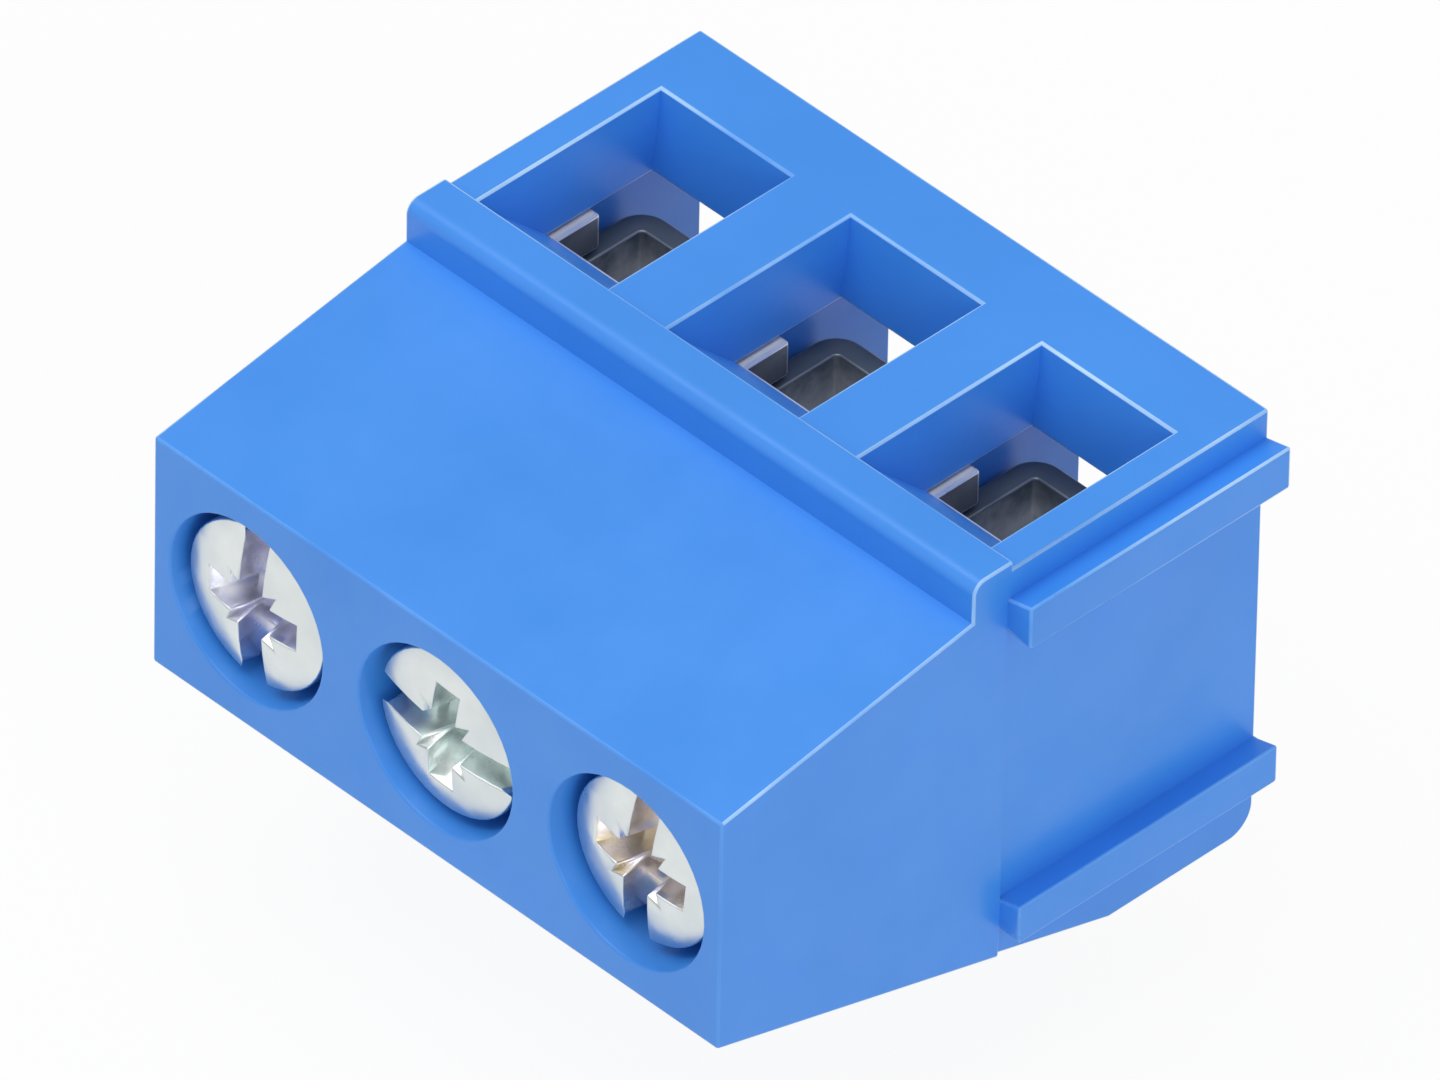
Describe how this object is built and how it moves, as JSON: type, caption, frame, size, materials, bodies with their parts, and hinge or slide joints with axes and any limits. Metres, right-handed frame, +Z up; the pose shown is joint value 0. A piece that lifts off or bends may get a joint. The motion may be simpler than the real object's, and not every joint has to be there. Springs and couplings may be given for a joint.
{
  "type": "pcb screw terminal",
  "caption": "Board-mount screw terminal block with a sloped front, funnel wire entries on top, rising clamp cages worked by front screws, end dovetails and solder pins.",
  "frame": {"origin": "on the board under the middle solder pin", "axes": "+X along the row of poles towards the end with the ribs, +Y from the screw face towards the open rear, +Z up away from the board, the way the wires leave"},
  "size_m": [0.0155, 0.0139, 0.0126],
  "materials": {
    "housing_plastic": "satin moulded polyamide",
    "screw_steel": "bright zinc plate",
    "cage_steel": "dull nickel plate",
    "contact_metal": "tin plate"
  },
  "bodies": {
    "block": {"housing": "housing_plastic", "contact_1": "contact_metal", "contact_2": "contact_metal", "contact_3": "contact_metal"},
    "screw_1": {"clamp_screw_1": "screw_steel"},
    "cage_1": {"lift_cage_1": "cage_steel"},
    "screw_2": {"clamp_screw_2": "screw_steel"},
    "cage_2": {"lift_cage_2": "cage_steel"},
    "screw_3": {"clamp_screw_3": "screw_steel"},
    "cage_3": {"lift_cage_3": "cage_steel"}
  },
  "joints": [
    {"name": "screw_1_turn", "type": "hinge", "parent": "block", "child": "screw_1", "pos_m": [-0.005, -0.006, 0.00565], "axis": [0, 1, 0], "range_deg": [-280, 1648]},
    {"name": "cage_1_lift", "type": "slide", "parent": "block", "child": "cage_1", "axis": [0, -1, 0], "range_m": [-0.00035, 0.00206]},
    {"name": "screw_2_turn", "type": "hinge", "parent": "block", "child": "screw_2", "pos_m": [0, -0.006, 0.00565], "axis": [0, 1, 0], "range_deg": [-160, 1768]},
    {"name": "cage_2_lift", "type": "slide", "parent": "block", "child": "cage_2", "axis": [0, -1, 0], "range_m": [-0.0002, 0.00221]},
    {"name": "screw_3_turn", "type": "hinge", "parent": "block", "child": "screw_3", "pos_m": [0.005, -0.006, 0.00565], "axis": [0, 1, 0], "range_deg": [0, 1928]},
    {"name": "cage_3_lift", "type": "slide", "parent": "block", "child": "cage_3", "axis": [0, -1, 0], "range_m": [0, 0.00241]}
  ],
  "couplings": [
    {"joint": "screw_1_turn", "follows": "cage_1_lift", "rad_per_m": 13963},
    {"joint": "screw_2_turn", "follows": "cage_2_lift", "rad_per_m": 13963},
    {"joint": "screw_3_turn", "follows": "cage_3_lift", "rad_per_m": 13963}
  ]
}
